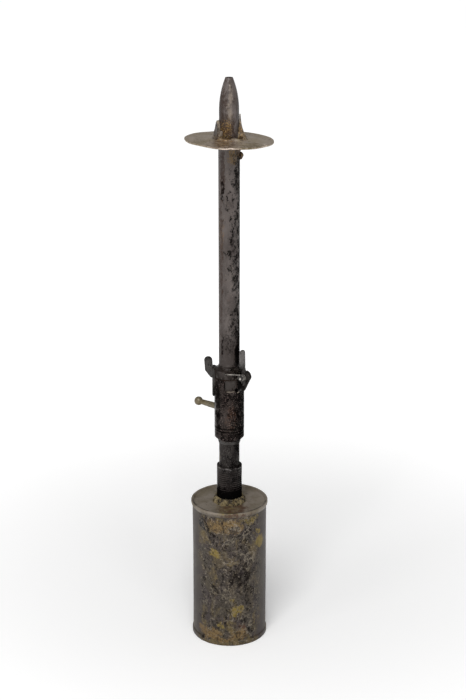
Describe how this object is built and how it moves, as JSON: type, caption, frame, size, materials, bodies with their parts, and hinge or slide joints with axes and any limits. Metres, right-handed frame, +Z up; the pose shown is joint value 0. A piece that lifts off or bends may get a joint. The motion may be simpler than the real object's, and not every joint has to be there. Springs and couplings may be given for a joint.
{
  "type": "bunsen burner",
  "caption": "Self-contained laboratory burner: tin fuel can, piped stem, air sleeve with ball lever, spring catch, long burner tube, drip disc and bullet-shaped tip.",
  "frame": {"origin": "bottom centre of the can, on the burner's axis", "axes": "+Z up along the burner tube, -Y toward the side pictured, +X to its right"},
  "size_m": [0.0716, 0.0716, 0.4849],
  "materials": {
    "tin": "aged lacquered tinplate with ochre stains",
    "black_iron": "blackened pipe",
    "solder": "tarnished spelter",
    "packing": "oiled fibre",
    "sleeve_steel": "dark pitted steel",
    "tube_steel": "brown-grey rust-pitted steel",
    "tip_steel": "heat-browned steel",
    "disc_plate": "olive-grey sheet",
    "catch_steel": "worn steel",
    "spring_wire": "bright wire",
    "brass_parts": "aged brass"
  },
  "bodies": {
    "stand": {"can_body": "tin", "can_top": "tin", "can_bottom": "tin", "filler_socket": "black_iron", "socket_locknut": "black_iron", "socket_solder": "solder", "stem_pipe": "black_iron", "stem_packing_ring": "packing", "sleeve_nut": "sleeve_steel", "air_sleeve": "sleeve_steel", "regulator_washer": "packing", "jet_washer": "packing", "gas_jet": "brass_parts", "collar_gasket": "packing", "tube_collar": "tube_steel", "burner_tube": "tube_steel", "burner_tip": "tip_steel", "tip_screw": "tube_steel", "drip_disc": "disc_plate", "keeper_strip": "catch_steel", "catch_bracket": "catch_steel", "catch_pin": "catch_steel", "catch_spring": "spring_wire"},
    "regulator": {"regulator_barrel": "brass_parts", "regulator_lever": "brass_parts"},
    "catch": {"catch_lever": "catch_steel"}
  },
  "joints": [
    {"name": "regulator_turn", "type": "hinge", "parent": "stand", "child": "regulator", "pos_m": [0, 0, 0.2059], "axis": [0, 0, 1], "range_deg": [-70, 0]},
    {"name": "catch_pivot", "type": "hinge", "parent": "stand", "child": "catch", "pos_m": [0.01223, -0.01223, 0.2395], "axis": [0.7071, 0.7071, 0], "range_deg": [0, 12], "stiffness_Nm_per_rad": 0.06, "springref_deg": -20.05, "deforming": ["catch_spring"]}
  ]
}
